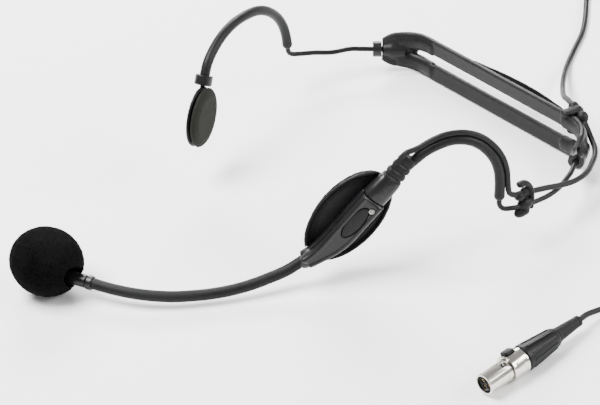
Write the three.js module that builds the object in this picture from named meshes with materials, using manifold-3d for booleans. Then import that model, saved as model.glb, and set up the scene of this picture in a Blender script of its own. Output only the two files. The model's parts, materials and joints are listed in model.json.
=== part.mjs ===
// Headset microphone: a behind-the-neck frame of spring wire and two straps, ear hooks, temple pads,
// a bendable boom with a foam windscreen, and a cord that ends in a small locking connector.
//
// Millimetres, +Z up. The headset is drawn as it is worn (+X to the back of the head, +Y to the
// wearer's right, +Z up) in a group that is tipped forward, so that it lies on a table on its
// windscreen and on the lower edge of its neck band. The cord and the connector lie on that table.
import * as THREE from "three";
import { mergeVertices } from "three/addons/utils/BufferGeometryUtils.js";
import Module from "manifold-3d";

const wasm = await Module();
wasm.setup();

const v = (x, y, z) => new THREE.Vector3(x, y, z);
const degrees = THREE.MathUtils.degToRad;
const X = v(1, 0, 0);
const Z = v(0, 0, 1);

// ---------------------------------------------------------------- driving dimensions
const GAP = 0.3; // clearance between pieces that touch
const WIRE = 2.0; // spring wire of the ear hooks, diameter
const WIRE_BORE = WIRE + 2 * GAP + 0.1; // hole that the wire passes through
const SLEEVE = 3.9; // soft sleeve over the wire
const CABLE = 2.2; // microphone cable and cord
const BOOM = 4.3; // rubber-sheathed gooseneck
const SIDE_YAW = degrees(29.5); // toe-in of the temple pads
const PAD_TILT = degrees(51); // lean of the pads' long axis above the horizontal
const WORN_PITCH = degrees(9.447); // how far the headset tips forward on the table
const WORN_ROLL = degrees(-1.581);
const WORN_ORIGIN = v(39.389, -0.664, -36.474); // puts the middle of the laid-down headset on the origin

// ---------------------------------------------------------------- materials
const looks = {
  plastic: { color: 0x1b1c1c, roughness: 0.38, metalness: 0 },
  satin: { color: 0x2c2d2e, roughness: 0.5, metalness: 0 },
  rubber: { color: 0x232424, roughness: 0.75, metalness: 0 },
  foam: { color: 0x1c1e1d, roughness: 1, metalness: 0 },
  cushion: { color: 0x33342e, roughness: 0.9, metalness: 0 },
  coated: { color: 0x262727, roughness: 0.45, metalness: 0 },
  steel: { color: 0xb9b6ae, roughness: 0.35, metalness: 1 },
  nickel: { color: 0xd4cfc4, roughness: 0.28, metalness: 1 },
  brass: { color: 0xc9a24b, roughness: 0.3, metalness: 1 },
  board: { color: 0x2f5b3a, roughness: 0.6, metalness: 0 },
};

function piece(parent, name, geometry, look) {
  const mesh = new THREE.Mesh(geometry, new THREE.MeshStandardMaterial(looks[look]));
  mesh.name = name;
  parent.add(mesh);
  return mesh;
}

// ---------------------------------------------------------------- solids
// A closed three.js geometry as a manifold solid, and back.
function solid(geometry) {
  const bare = geometry.clone();
  bare.deleteAttribute("normal");
  bare.deleteAttribute("uv");
  const merged = mergeVertices(bare, 1e-4);
  const index = merged.index.array;
  const kept = [];
  for (let i = 0; i < index.length; i += 3) {
    const [a, b, c] = index.slice(i, i + 3);
    if (a !== b && b !== c && c !== a) kept.push(a, b, c);
  }
  const vertProperties = new Float32Array(merged.attributes.position.array);
  return new wasm.Manifold(new wasm.Mesh({ numProp: 3, vertProperties, triVerts: new Uint32Array(kept) }));
}

function geometryOf(manifold) {
  const mesh = manifold.getMesh();
  const geometry = new THREE.BufferGeometry();
  geometry.setAttribute("position", new THREE.BufferAttribute(mesh.vertProperties, 3));
  geometry.setIndex(new THREE.BufferAttribute(mesh.triVerts, 1));
  geometry.computeVertexNormals();
  return geometry;
}

const cut = (body, ...tools) =>
  geometryOf(tools.reduce((left, tool) => left.subtract(solid(tool)), solid(body)));
const join = (body, ...others) =>
  geometryOf(others.reduce((sum, other) => sum.add(solid(other)), solid(body)));

// A section with straight sides, so that tubes stay light.
function roundSection(diameter, sides, bore = 0) {
  const corners = (width) =>
    Array.from({ length: sides }, (_, i) => {
      const angle = (2 * Math.PI * i) / sides;
      return new THREE.Vector2((width / 2) * Math.cos(angle), (width / 2) * Math.sin(angle));
    });
  const shape = new THREE.Shape(corners(diameter));
  if (bore > 0) shape.holes.push(new THREE.Path(corners(bore)));
  return shape;
}

function rectangle(width, height, chamfer) {
  const [w, h, c] = [width / 2, height / 2, chamfer];
  const corners = [[-w + c, -h], [w - c, -h], [w, -h + c], [w, h - c], [w - c, h], [-w + c, h],
    [-w, h - c], [-w, -h + c]];
  return new THREE.Shape(corners.map(([x, y]) => new THREE.Vector2(x, y)));
}

function sweep(shape, points, step) {
  const path = new THREE.CatmullRomCurve3(points, false, "centripetal");
  const steps = Math.max(1, Math.round(path.getLength() / step));
  return new THREE.ExtrudeGeometry(shape, { steps, extrudePath: path, bevelEnabled: false,
    curveSegments: 1 });
}

function tube(points, diameter, { bore = 0, sides = 8, step = 5 } = {}) {
  return sweep(roundSection(diameter, sides, bore), points, step);
}

// A turned piece: its profile is [radius, height] pairs, its axis starts at base along direction.
function turned(profile, base = v(0, 0, 0), direction = Z, segments = 20) {
  const outline = profile.map(([radius, height]) => new THREE.Vector2(radius, height));
  const turn = new THREE.Quaternion().setFromUnitVectors(v(0, 1, 0), direction.clone().normalize());
  return new THREE.LatheGeometry(outline, segments).applyQuaternion(turn).translate(base.x, base.y, base.z);
}

const rod = (base, direction, length, diameter, segments = 16) =>
  turned([[0, 0], [diameter / 2, 0], [diameter / 2, length], [0, length]], base, direction, segments);

function block(sizeX, sizeY, sizeZ, centre) {
  return new THREE.BoxGeometry(sizeX, sizeY, sizeZ).translate(centre.x, centre.y, centre.z);
}

// A plate with rounded edges: an outline in X and Y, from bottom to top in Z.
function plate(shape, bottom, top, round) {
  const settings = {
    depth: top - bottom - 2 * round,
    bevelEnabled: round > 0,
    bevelThickness: round,
    bevelSize: round,
    bevelOffset: -round,
    bevelSegments: 2,
    curveSegments: 8,
  };
  return new THREE.ExtrudeGeometry(shape, settings).translate(0, 0, bottom + round);
}

function oval(length, width, x = 0, y = 0) {
  return new THREE.Shape().absellipse(x, y, length / 2, width / 2, 0, 2 * Math.PI, false, 0);
}

// An oval dish or cushion: a turned profile with radii as shares of the half axes.
function ovalTurned(profile, length, width, segments = 32) {
  return turned(profile, v(0, 0, 0), Z, segments).scale(length / 2, width / 2, 1);
}

// A frame for a piece that stands upright on the side of the head: X along the piece, Z outwards.
function standing(parent, position, yaw, tilt) {
  const group = new THREE.Group();
  group.position.copy(position);
  group.rotateZ(yaw).rotateX(Math.PI / 2).rotateZ(tilt);
  parent.add(group);
  group.updateMatrix();
  return group;
}

// ---------------------------------------------------------------- the headset as it is worn
const headset = new THREE.Group();
headset.position.copy(WORN_ORIGIN);
headset.rotation.set(WORN_ROLL, WORN_PITCH, 0, "XYZ");

// The hooks and temple pads follow the side of the head: half the width at each x.
const halfWidth = (x) => 75 + 0.36 * x - 0.0019 * x * x;
const onSide = (side, x, z, out = 0) => v(x, side * (halfWidth(x) + out), z);
const NEAR = -1;
const FAR = 1;

// Band: a straight back run with a rounded corner at each end that leads into a hub.
const BAND_CENTRE = v(50.4, 1.4, 54.3);
const BAND_TURN = degrees(4.8); // the left side is drawn out further, so the band sits askew
const BAND_TILT = degrees(0.8);
const HUB_MOUTH = { x: -13.6, y: 61.5 };
const HUB_HEADING = { x: 0.8, y: -0.6 }; // from the right-hand mouth into the band
const HUB_LENGTH = 10;
const BUSH_LENGTH = 3.5;
const CORNER = 14; // radius of the band's corners
const STRAP = { height: 6.8, thickness: 2.3 };

const turnedWithBand = (x, y, z) => v(x, y, z).applyAxisAngle(X, BAND_TILT).applyAxisAngle(Z, BAND_TURN);
const bandPlace = (x, y, z = 0) => turnedWithBand(x, y, z).add(BAND_CENTRE);
const hubMouth = (side) => bandPlace(HUB_MOUTH.x, side * HUB_MOUTH.y);
const hubInto = (side) => turnedWithBand(HUB_HEADING.x, side * HUB_HEADING.y, 0);

// The band's middle line in its own frame, at a distance from the mouth of the right-hand hub.
function bandLine(distance) {
  const bend = Math.atan2(HUB_HEADING.x, -HUB_HEADING.y);
  const alongCorner = distance - HUB_LENGTH;
  const straight = Math.min(distance, HUB_LENGTH);
  const x = HUB_MOUTH.x + HUB_HEADING.x * straight;
  const y = HUB_MOUTH.y + HUB_HEADING.y * straight;
  if (alongCorner <= 0) return { x, y };
  const centre = { x: x - CORNER * Math.cos(bend), y: y - CORNER * Math.sin(bend) };
  const angle = Math.max(0, bend - alongCorner / CORNER);
  const alongRun = Math.max(0, alongCorner - bend * CORNER);
  return { x: centre.x + CORNER * Math.cos(angle), y: centre.y + CORNER * Math.sin(angle) - alongRun };
}

// A strap's middle line: the two straps stand close together at the hub and spread to their full height.
function strapPoints(up) {
  const half = [3.8, 7, 11, 14, 17, 20, 23, 28, 34, 42, 50, 60].map((distance) => {
    const height = up * (3.4 + 2 * THREE.MathUtils.smoothstep(distance, 2, 24));
    return { ...bandLine(distance), height };
  });
  const right = half.map(({ x, y, height }) => bandPlace(x, y, height));
  const left = half.map(({ x, y, height }) => bandPlace(x, -y, height)).reverse();
  return [...right, ...left];
}

function makeBand(parent) {
  const section = rectangle(STRAP.height, STRAP.thickness, 0.6);
  const parts = [sweep(section, strapPoints(1), 3.4), sweep(section, strapPoints(-1), 3.4)];
  const bores = [];
  for (const side of [FAR, NEAR]) {
    const inside = hubMouth(side).addScaledVector(hubInto(side), BUSH_LENGTH + GAP);
    parts.push(rod(inside, hubInto(side), 9.4, 6.4, 20));
    bores.push(rod(hubMouth(side), hubInto(side), 16, WIRE_BORE, 10));
  }
  const moulded = parts.reduce((sum, part) => sum.add(solid(part)), solid(parts[0]));
  const bored = bores.reduce((left, bore) => left.subtract(solid(bore)), moulded);
  piece(parent, "neck_band", geometryOf(bored), "satin");

  for (const [side, name] of [[FAR, "right_bush"], [NEAR, "left_bush"]]) {
    const profile = [[1.3, 0], [2.9, 0], [3.2, 0.4], [3.2, BUSH_LENGTH], [1.3, BUSH_LENGTH], [1.3, 0]];
    piece(parent, name, turned(profile, hubMouth(side), hubInto(side)), "plastic");
  }
  const stretch = [14, 4, -8, -20, -31].map((y) => bandPlace(1.95, y, 5.6));
  piece(parent, "band_spring", sweep(rectangle(5.6, 0.8, 0.2), stretch, 8), "rubber");
}

// ---------------------------------------------------------------- ear hooks
const FAR_HOOK = [[-54.1, 70.6], [-52.6, 73.8], [-49.6, 77], [-43.5, 80.8], [-35, 83.2], [-24, 83.1],
  [-17.5, 81.6],
  [-11.5, 78.4], [-6.5, 73.9], [-3.3, 69], [-1.5, 64], [-0.6, 59]].map(([x, z]) => onSide(FAR, x, z));
const NEAR_HOOK = [[-38.3, 67.6], [-36, 70.8], [-33, 74], [-28, 78.4], [-21, 81.6], [-17.5, 81.9],
  [-13.3, 81], [-9.3, 78.4], [-5.2, 73.2], [-3.4, 68.3], [-2.8, 63.5],
    [-2.8, 56]].map(([x, z]) => onSide(NEAR, x, z));

// Both wires leave their sleeve in a tight bend, run round the head and slide into a hub, so that the
// headset fits any head: the left one is drawn out further.
function wireTail(side, reach) {
  return [-9, -4, 0, reach].map((along) => hubMouth(side).addScaledVector(hubInto(side), along));
}
const FAR_WIRE = [...FAR_HOOK, v(0, 75.1, 56.6), v(1.4, 75.3, 55.2), v(4, 74.6, 54.8), v(11, 72.6, 54.4),
  v(17.5, 69.8, 54), ...wireTail(FAR, 11)];
const NEAR_WIRE = [...NEAR_HOOK, v(-2.6, -74, 53.4), v(-1.4, -74.5, 51.9), v(1.5, -75.6, 51.6),
  v(7, -76.3, 51.6),
  v(13, -76.1, 51.7), v(19, -75.3, 52), v(25, -73.3, 52.5), v(30, -70.4, 53), ...wireTail(NEAR, 8)];

function makeHook(parent, name, root, wire, hook) {
  piece(parent, `${name}_wire`, tube([...root, ...wire], WIRE), "coated");
  piece(parent, `${name}_sleeve`, tube(hook, SLEEVE, { bore: WIRE_BORE, sides: 10, step: 4 }), "rubber");
}

// ---------------------------------------------------------------- left temple: pod, pad and boom root
// Pod frame: X along the pod towards the ear hook, Y up and forward, Z away from the head.
const POD_SEAM = 11; // where the neck of the pod meets its two shells
const POD_TOP = 21;
const SLEEVE_Y = -2.5;
const RELIEF_Y = 2.2;
const BOOM_ROOT = [v(-15, 0.8, 0), v(-20, 2.1, 0), v(-24.5, 3.9, 0), v(-29, 6, 0)];

// The pod's middle line bends forward towards the boom, and its width narrows to the boom's.
const podMiddle = (x) => (x < -6 ? 0.011 * (x + 6) ** 2 : 0);
const podHalfWidth = (x) => 4.7 - 1.9 * THREE.MathUtils.smoothstep(-x, 6, 25);

function podOutline(from, to, inset = 0) {
  const xs = Array.from({ length: 11 }, (_, i) => from + inset + ((to - from - 2 * inset) * i) / 10);
  const edge = (side) =>
    xs.map((x) => new THREE.Vector2(x, podMiddle(x) + side * (podHalfWidth(x) - inset)));
  return new THREE.Shape([...edge(-1), ...edge(1).reverse()]);
}

const boomHole = () => tube([v(-13, 0.5, 0), ...BOOM_ROOT], BOOM + 2 * GAP, { sides: 12 });

function makePod(pod) {
  const cavity = (bottom, top) => plate(podOutline(-17, POD_SEAM + 2, 1.3), bottom, top, 0);
  const screwHole = (diameter, bottom, top) => rod(v(7.4, -1.7, bottom), Z, top - bottom, diameter);

  const base = cut(plate(podOutline(-24, POD_SEAM), -3.6, -0.15, 0.7), cavity(-2.4, 1), boomHole());
  const boss = cut(rod(v(7.4, -1.7, -2.5), Z, 2.3, 2.9), screwHole(1.3, -1.6, 1));
  piece(pod, "pod_base", join(base, boss), "plastic");

  const cover = plate(podOutline(-24, POD_SEAM), 0.15, 4.1, 1.2);
  const inlayRecess = plate(oval(14.8, 5.8, 0.3, 0.3), 3.5, 5, 0);
  const screwRecess = screwHole(2.8, 3.3, 5);
  const openings = [cavity(-1, 2.7), boomHole(), inlayRecess, screwRecess, screwHole(1.7, 2, 5)];
  piece(pod, "pod_cover", cut(cover, ...openings), "plastic");
  piece(pod, "cover_inlay", plate(oval(14.2, 5.2, 0.3, 0.3), 3.8, 4.3, 0.2), "satin");
  const screw = [[0, -1.2], [0.5, -1.2], [0.5, 3.6], [1.1, 3.6], [1.1, 4.1], [0.6, 4.2], [0, 4.2]];
  piece(pod, "pod_screw", turned(screw, v(7.4, -1.7, 0)), "steel");

  const neckOutline = rectangle(POD_TOP - POD_SEAM - GAP, 9.2, 1.2);
  const neck = plate(neckOutline, -3.05, 3.85, 1).translate((POD_TOP + POD_SEAM + GAP) / 2, 0, 0);
  const sleeveHole = rod(v(POD_SEAM - 1, SLEEVE_Y, 0), X, 12, SLEEVE + 2 * GAP);
  const cableHole = rod(v(POD_SEAM - 1, RELIEF_Y, 0), X, 12, CABLE + 2 * GAP, 10);
  piece(pod, "pod_neck", cut(neck, sleeveHole, cableHole), "plastic");

  const crimp = [[1.35, 0], [1.9, 0], [1.9, 3.2], [1.35, 3.2], [1.35, 0]];
  piece(pod, "wire_clamp", turned(crimp, v(POD_SEAM + 1.2, SLEEVE_Y, 0), X), "brass");
  piece(pod, "terminal_board", block(9, 4.6, 0.8, v(-3.5, 0.3, -1.3)), "board");
  const ferrule = tube([v(-12.6, 0.35, 0), v(-14.6, 0.75, 0)], 4.5, { bore: 3, sides: 12 });
  piece(pod, "boom_ferrule", ferrule, "brass");

  const relief = [[1.4, 0], [2.4, 0], [2.4, 1.8], [1.85, 2.2], [1.85, 3], [2.3, 3.4], [2.3, 4.8],
    [1.8, 5.2], [1.8, 6],
    [2.2, 6.4], [2.2, 7.8], [1.8, 8.4], [1.8, 10], [1.65, 10], [1.4, 7.6], [1.4, 0]];
  piece(pod, "strain_relief", turned(relief, v(POD_TOP + GAP, RELIEF_Y, 0), X, 14), "rubber");
}

function makeNearPad(pod) {
  const dish = [[0, -0.6], [0.8, -0.6], [0.95, 0.1], [1, 1.6], [0.97, 2.3], [0.92, 2.1], [0.86, 0.9],
    [0.72, 0.5], [0, 0.5]];
  const cushion = [[0, -3.9], [0.7, -3.9], [0.88, -3], [0.94, -1.8], [0.86, -0.9], [0, -0.9]];
  const place = (geometry) => geometry.translate(-1.6, 1.4, -4.4);
  const clearPod = plate(podOutline(-24, POD_TOP, -GAP), -3.85, 3, 0);
  piece(pod, "left_pad_dish", cut(place(ovalTurned(dish, 43, 24)), clearPod, boomHole()), "rubber");
  piece(pod, "left_pad_cushion", place(ovalTurned(cushion, 43, 24)), "cushion");
}

// ---------------------------------------------------------------- right temple pad
// Pad frame: X along the pad towards the ear hook, Z away from the head. The wire ends in its shell.
const PAD_WIRE_Z = 1.5;

function makeFarPad(pad) {
  const dome = [[0, 0.4], [0.92, 0.4], [1, 0.9], [0.97, 1.5], [0.82, 2], [0.5, 2.4], [0, 2.5]];
  const bulge = new THREE.SphereGeometry(1, 24, 12).scale(6.4, 4, 3.4).translate(5.2, 0, 1);
  const under = block(30, 30, 6, v(0, 0, -2.6));
  const socket = rod(v(3.4, 0, PAD_WIRE_Z), X, 12, WIRE_BORE, 12);
  const shell = join(ovalTurned(dome, 24, 18), bulge);
  piece(pad, "right_pad_shell", cut(shell, under, socket), "rubber");
  const cushion = [[0, -3], [0.72, -3], [0.92, -2.4], [1, -1.4], [0.96, -0.5], [0.85, -0.1], [0, -0.1]];
  piece(pad, "right_pad_cushion", ovalTurned(cushion, 24, 18.6), "cushion");
  const collar = [[1.4, 0], [3.3, 0], [3.5, 0.3], [3.5, 3.6], [3.2, 3.9], [1.4, 3.9], [1.4, 0]];
  piece(pad, "right_collar", turned(collar, v(12.3, 0, PAD_WIRE_Z), X), "plastic");
}

// ---------------------------------------------------------------- boom, capsule and windscreen
const BOOM_BEND_GAP = 1.3; // room between two stretches of boom, so that they can bend against each other
const BOOM_BENDS = [20, 62]; // distance of the two bends from the boom's inner end
const CAPSULE_AIM = v(-0.53, 0.845, 0.06).normalize();
const CAPSULE = 5; // capsule tube, diameter

function boomCurve(pod) {
  const root = BOOM_ROOT.slice(0, 3).map((point) => point.clone().applyMatrix4(pod.matrix));
  const free = [v(-74, -40.4, 31.6), v(-79.8, -38.4, 29.4), v(-86, -36, 27.3), v(-92.5, -33.2, 25.6),
    v(-99.5, -29.4, 24.2),
    v(-105.5, -25.5, 23.3), v(-111, -21.6, 22.7), v(-117, -16.2, 22.3), v(-122.2, -10.2, 22.1),
      v(-127, -3, 22), v(-131, 4, 22.2)];
  return new THREE.CatmullRomCurve3([...root, ...free], false, "centripetal");
}

// The part of a curve between two distances along it.
function stretchOf(curve, from, to, step = 5) {
  const length = curve.getLength();
  const count = Math.max(1, Math.round((to - from) / step));
  const share = (i) => Math.min(1, (from + ((to - from) * i) / count) / length);
  return Array.from({ length: count + 1 }, (_, i) => curve.getPointAt(share(i)));
}

function makeBoom(parent, pod) {
  const curve = boomCurve(pod);
  const ends = [0, ...BOOM_BENDS, curve.getLength()];
  const half = BOOM_BEND_GAP / 2;
  ["boom_rear", "boom_middle", "boom_front"].forEach((name, i) => {
    const from = ends[i] + (i > 0 ? half : 0);
    const to = ends[i + 1] - (i < 2 ? half : 0);
    piece(parent, name, tube(stretchOf(curve, from, to), BOOM, { sides: 10, step: 4 }), "rubber");
  });

  const tip = curve.getPointAt(1);
  const onAxis = (along, up = 0) => tip.clone().addScaledVector(CAPSULE_AIM, along).add(v(0, 0, up));
  const collar = [[0, 0], [2.5, 0], [2.75, 0.3], [2.75, 2], [2.45, 2.3], [0, 2.3]];
  piece(parent, "boom_collar", turned(collar, onAxis(GAP), CAPSULE_AIM), "plastic");
  const r = CAPSULE / 2;
  const housing = [[0, 0], [r - 0.3, 0], [r, 0.3], [r, 15.6], [r - 0.4, 15.6], [r - 0.4, 1.4], [0, 1.4]];
  piece(parent, "capsule_tube", turned(housing, onAxis(2.9), CAPSULE_AIM), "plastic");
  piece(parent, "microphone_capsule", rod(onAxis(12.6), CAPSULE_AIM, 4.6, CAPSULE - 1.5), "nickel");
  piece(parent, "capsule_grille", makeGrille(onAxis(18.8)), "steel");

  const centre = onAxis(18.6, 4).add(v(-0.9, 0.5, 0));
  const toAim = new THREE.Quaternion().setFromUnitVectors(v(0, 1, 0), CAPSULE_AIM);
  const egg = new THREE.SphereGeometry(1, 22, 14).scale(13.2, 14.3, 13.2);
  const ball = egg.applyQuaternion(toAim).translate(...centre);
  const mouth = turned([[0, 0], [6.2, 0], [CAPSULE / 2 + GAP, 8.4], [0, 8.4]], onAxis(2.6), CAPSULE_AIM, 16);
  const hole = rod(onAxis(2.6), CAPSULE_AIM, 18.2, CAPSULE + 2 * GAP, 16);
  piece(parent, "windscreen", cut(ball, mouth, hole), "foam");
}

function makeGrille(base) {
  const disc = rod(base, CAPSULE_AIM, 0.8, CAPSULE, 16);
  const sideways = v(0, 0, 1).cross(CAPSULE_AIM).normalize();
  const holes = Array.from({ length: 6 }, (_, i) => {
    const offset = sideways.clone().applyAxisAngle(CAPSULE_AIM, (i * Math.PI) / 3).multiplyScalar(1.4);
    return rod(base.clone().add(offset).addScaledVector(CAPSULE_AIM, -1), CAPSULE_AIM, 3, 0.7, 6);
  });
  return cut(disc, ...holes);
}

// ---------------------------------------------------------------- the headset's own cable and its clips
const CLIP_AT = v(7.2, -76, 54);
const CABLE_RISE = 3.3; // the cable lies on the outer side of the hook's bend, clear of the sleeve

function cableOverHook(pod) {
  const curve = new THREE.CatmullRomCurve3(NEAR_HOOK, false, "centripetal");
  const beside = Array.from({ length: 9 }, (_, i) => {
    const share = 0.22 + 0.085 * i;
    const along = curve.getTangentAt(share);
    const outwards = v(-(0.36 - 0.0038 * curve.getPointAt(share).x), -1, 0).normalize();
    return curve.getPointAt(share).addScaledVector(along.cross(outwards).normalize(), -CABLE_RISE);
  });
  const straight = [9.5, POD_TOP - 5, POD_TOP, POD_TOP + 5, POD_TOP + 9, POD_TOP + 11];
  const inside = straight.map((x) => v(x, RELIEF_Y, 0).applyMatrix4(pod.matrix));
  return [...inside, ...beside, v(0.4, -75.7, 58.4), v(2.4, -75.9, 57.05)];
}
const CABLE_SPAN = [v(2.9, -75.8, 56.8), v(7.2, -75.4, 56.2), v(12, -75.2, 55.8), v(18, -74.9, 55.2),
  v(24, -74.8, 54.5),
  v(30, -74.2, 53.9), v(36, -72.4, 53.6), v(41.5, -69.4, 53.5), v(46.4, -65.3, 53.5)];
const CABLE_BAND = [v(46.7, -65, 53.5), v(50.9, -61.2, 53.8), v(53.9, -57.2, 54.5),
  bandPlace(1.2, -53.7, 2.3), bandPlace(2.7, -49.2, 4.8),
  bandPlace(3.4, -45.6, 7.4), bandPlace(3.8, -42, 9), bandPlace(4.4, -38.2, 9.7)];

function makeClips(parent) {
  const at = (x, y, z) => CLIP_AT.clone().add(v(x, y, z));
  const body = join(
    new THREE.BoxGeometry(8, 4.6, 8).translate(...at(-0.2, 0, 0.4)),
    tube([at(2, 0, 3), at(2, 0, 5.2), at(0.6, 0, 6.1), at(-1.8, 0, 6.2)], 2.2, { step: 1.5 }),
    new THREE.SphereGeometry(1, 14, 8).scale(3.2, 2.3, 2.6).translate(...at(-1.6, -0.2, -4.6)),
  );
  const groove = rod(at(-1.5, -4.8, -9), Z, 18, 7, 20);
  const wireBore = tube(NEAR_WIRE.slice(-10, -5), WIRE_BORE, { sides: 10, step: 2 });
  const cableBore = tube([v(-1, -75.7, 57.3), ...CABLE_SPAN.slice(0, 4)], CABLE + 2 * GAP,
    { sides: 10, step: 2 });
  piece(parent, "left_clip", cut(body, groove, wireBore, cableBore), "rubber");

  const inBand = (geometry) => geometry.rotateX(BAND_TILT).rotateZ(BAND_TURN).translate(...BAND_CENTRE);
  const top = STRAP.height / 2 + 5.4;
  const rear = rod(bandPlace(3.5, -46, 7.4), turnedWithBand(0.8, 7.6, 2.4), 7.6, 5, 16);
  const bridge = inBand(block(5.8, 5, 1.6, v(0, -42, top + GAP + 0.8)));
  const lip = inBand(block(1.2, 5, 2.6, v(-2.4, -42, top + 0.3)));
  const held = [bandPlace(2.2, -50.5, 4.2), ...CABLE_BAND.slice(4, 7), bandPlace(4.8, -36, 10)];
  const bore = tube(held, CABLE + 2 * GAP, { sides: 10, step: 2 });
  piece(parent, "rear_clip", cut(join(rear, bridge, lip), bore), "rubber");
}

function makeCable(parent, pod) {
  piece(parent, "cable_over_ear", tube(cableOverHook(pod), CABLE), "rubber");
  piece(parent, "cable_to_band", tube(CABLE_SPAN, CABLE), "rubber");
  piece(parent, "cable_on_band", tube(CABLE_BAND, CABLE), "rubber");
}

// ---------------------------------------------------------------- connector
// It lies on the table. Its frame: X from the socket face to the cord, Z through the latch button.
const PLUG_FACE = v(-13, -142.5, 5.1);
const PLUG_HEADING = degrees(9.2);
const PLUG_ROLL = degrees(-24);
const PLUG_COLLAR = 11.2; // where the collar begins
const PLUG_GRIP = 18.8;
const PLUG_BOOT = 35.8;
const PLUG_END = 47.6;
const BARREL = 4.1; // radii of the barrel and of the collar
const COLLAR = 5.1;

function makeConnector(parent) {
  const plug = new THREE.Group();
  plug.position.copy(PLUG_FACE);
  plug.rotateZ(PLUG_HEADING).rotateX(PLUG_ROLL);
  parent.add(plug);
  const about = (profile) => turned(profile, v(0, 0, 0), X, 20);
  const aside = v(0, Math.sin(degrees(40)), Math.cos(degrees(40))); // the detent is turned away from the button

  const barrel = [[3.4, 0], [3.9, 0], [BARREL, 0.2], [BARREL, 10.9], [3.7, 10.9], [3.7, 11.8], [3.4, 11.8],
    [3.4, 0]];
  const detent = v(8.9, -BARREL * aside.y, BARREL * aside.z);
  const inwards = v(0, aside.y, -aside.z);
  const ballHole = rod(detent.clone().addScaledVector(inwards, -1), inwards, 2, 2, 12);
  piece(plug, "plug_barrel", cut(about(barrel), ballHole), "nickel");
  const sunk = detent.clone().addScaledVector(inwards, 0.25);
  const ball = new THREE.SphereGeometry(0.6, 14, 10).translate(...sunk);
  piece(plug, "detent_ball", ball, "steel");

  const collar = [[4, 0], [4.85, 0], [COLLAR, 0.25], [COLLAR, 7.05], [4.85, 7.3], [4, 7.3], [4, 0]];
  const flats = [1, -1].map((side) => block(5, 2, 6, v(PLUG_COLLAR + 3.8, side * (COLLAR + 0.7), 0)));
  const slot = block(4.8, 4.4, 4, v(PLUG_COLLAR + 3, 0, COLLAR));
  piece(plug, "plug_collar", cut(turned(collar, v(PLUG_COLLAR, 0, 0), X, 20), ...flats, slot), "nickel");
  const button = plate(rectangle(4.2, 3.8, 0.6), 3.7, 6, 0.3).translate(PLUG_COLLAR + 3, 0, 0);
  piece(plug, "latch_button", button, "plastic");
  const leaf = [v(18, 0, 3.1), v(16.4, 0, 2.6), v(14.4, 0, 2.4), v(12.6, 0, 2.4)];
  piece(plug, "latch_spring", sweep(rectangle(0.25, 2, 0.05), leaf, 1.5), "steel");

  const pins = [[1, 1], [1, -1], [-1, -1], [-1, 1]].map(([y, z]) => v(0.8, 1.15 * y, 1.15 * z));
  const sockets = pins.map((pin) => rod(pin.clone().add(v(-1, 0, 0)), X, 12, 1.9, 12));
  piece(plug, "plug_insert", cut(rod(v(0.8, 0, 0), X, 10, 6.2, 24), ...sockets), "plastic");
  const contact = [[0.35, 0.4], [0.6, 0.4], [0.6, 11], [0.35, 11], [0.35, 0.4]];
  pins.forEach((pin, i) => piece(plug, `plug_contact_${i + 1}`, turned(contact, pin, X, 10), "brass"));

  const grip = [[3.4, PLUG_GRIP], [4.8, PLUG_GRIP], [COLLAR, PLUG_GRIP + 0.3], [COLLAR, 20], [3.7, 34.8],
    [3.4, 35.5],
    [1.4, 35.5], [1.4, 31], [2.9, 28], [3.4, 23], [3.4, PLUG_GRIP]];
  piece(plug, "plug_grip", about(grip), "plastic");
  const clamp = [[1.4, 24.4], [2.5, 24.4], [2.5, 27.4], [1.4, 27.4], [1.4, 24.4]];
  piece(plug, "plug_cord_clamp", about(clamp), "brass");
  const boot = [[1.4, PLUG_BOOT], [2.6, PLUG_BOOT], [2.55, 38.2], [2.1, 38.8], [2.1, 40], [2.4, 40.6],
    [2.4, 42.6], [2, 43.2],
    [2, 44.4], [2.2, 45], [2.2, 47], [1.9, PLUG_END], [1.4, PLUG_END], [1.4, PLUG_BOOT]];
  piece(plug, "plug_boot", turned(boot, v(0, 0, 0), X, 14), "rubber");
  piece(plug, "plug_lead", rod(v(24.6, 0, 0), X, PLUG_END - 24.7, CABLE, 10), "rubber");
}

// ---------------------------------------------------------------- free cord
// It falls from the rear clip to the table, runs to a coil of its spare length, and back to the boot.
const TABLE_Z = CABLE / 2 + 0.05; // the cord's middle where it lies on the table
const COIL_CENTRE = v(198.5, 52.4, 0);
const COIL_RADIUS = 12; // at the middle of the turns
const COIL_PITCH = 2.25; // from turn to turn
const COIL_WIDE = 3; // turns beside each other
const COIL_HIGH = 4; // turns on each other
const COIL_BOTTOM = 0.75; // the tie passes below the coil

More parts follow.
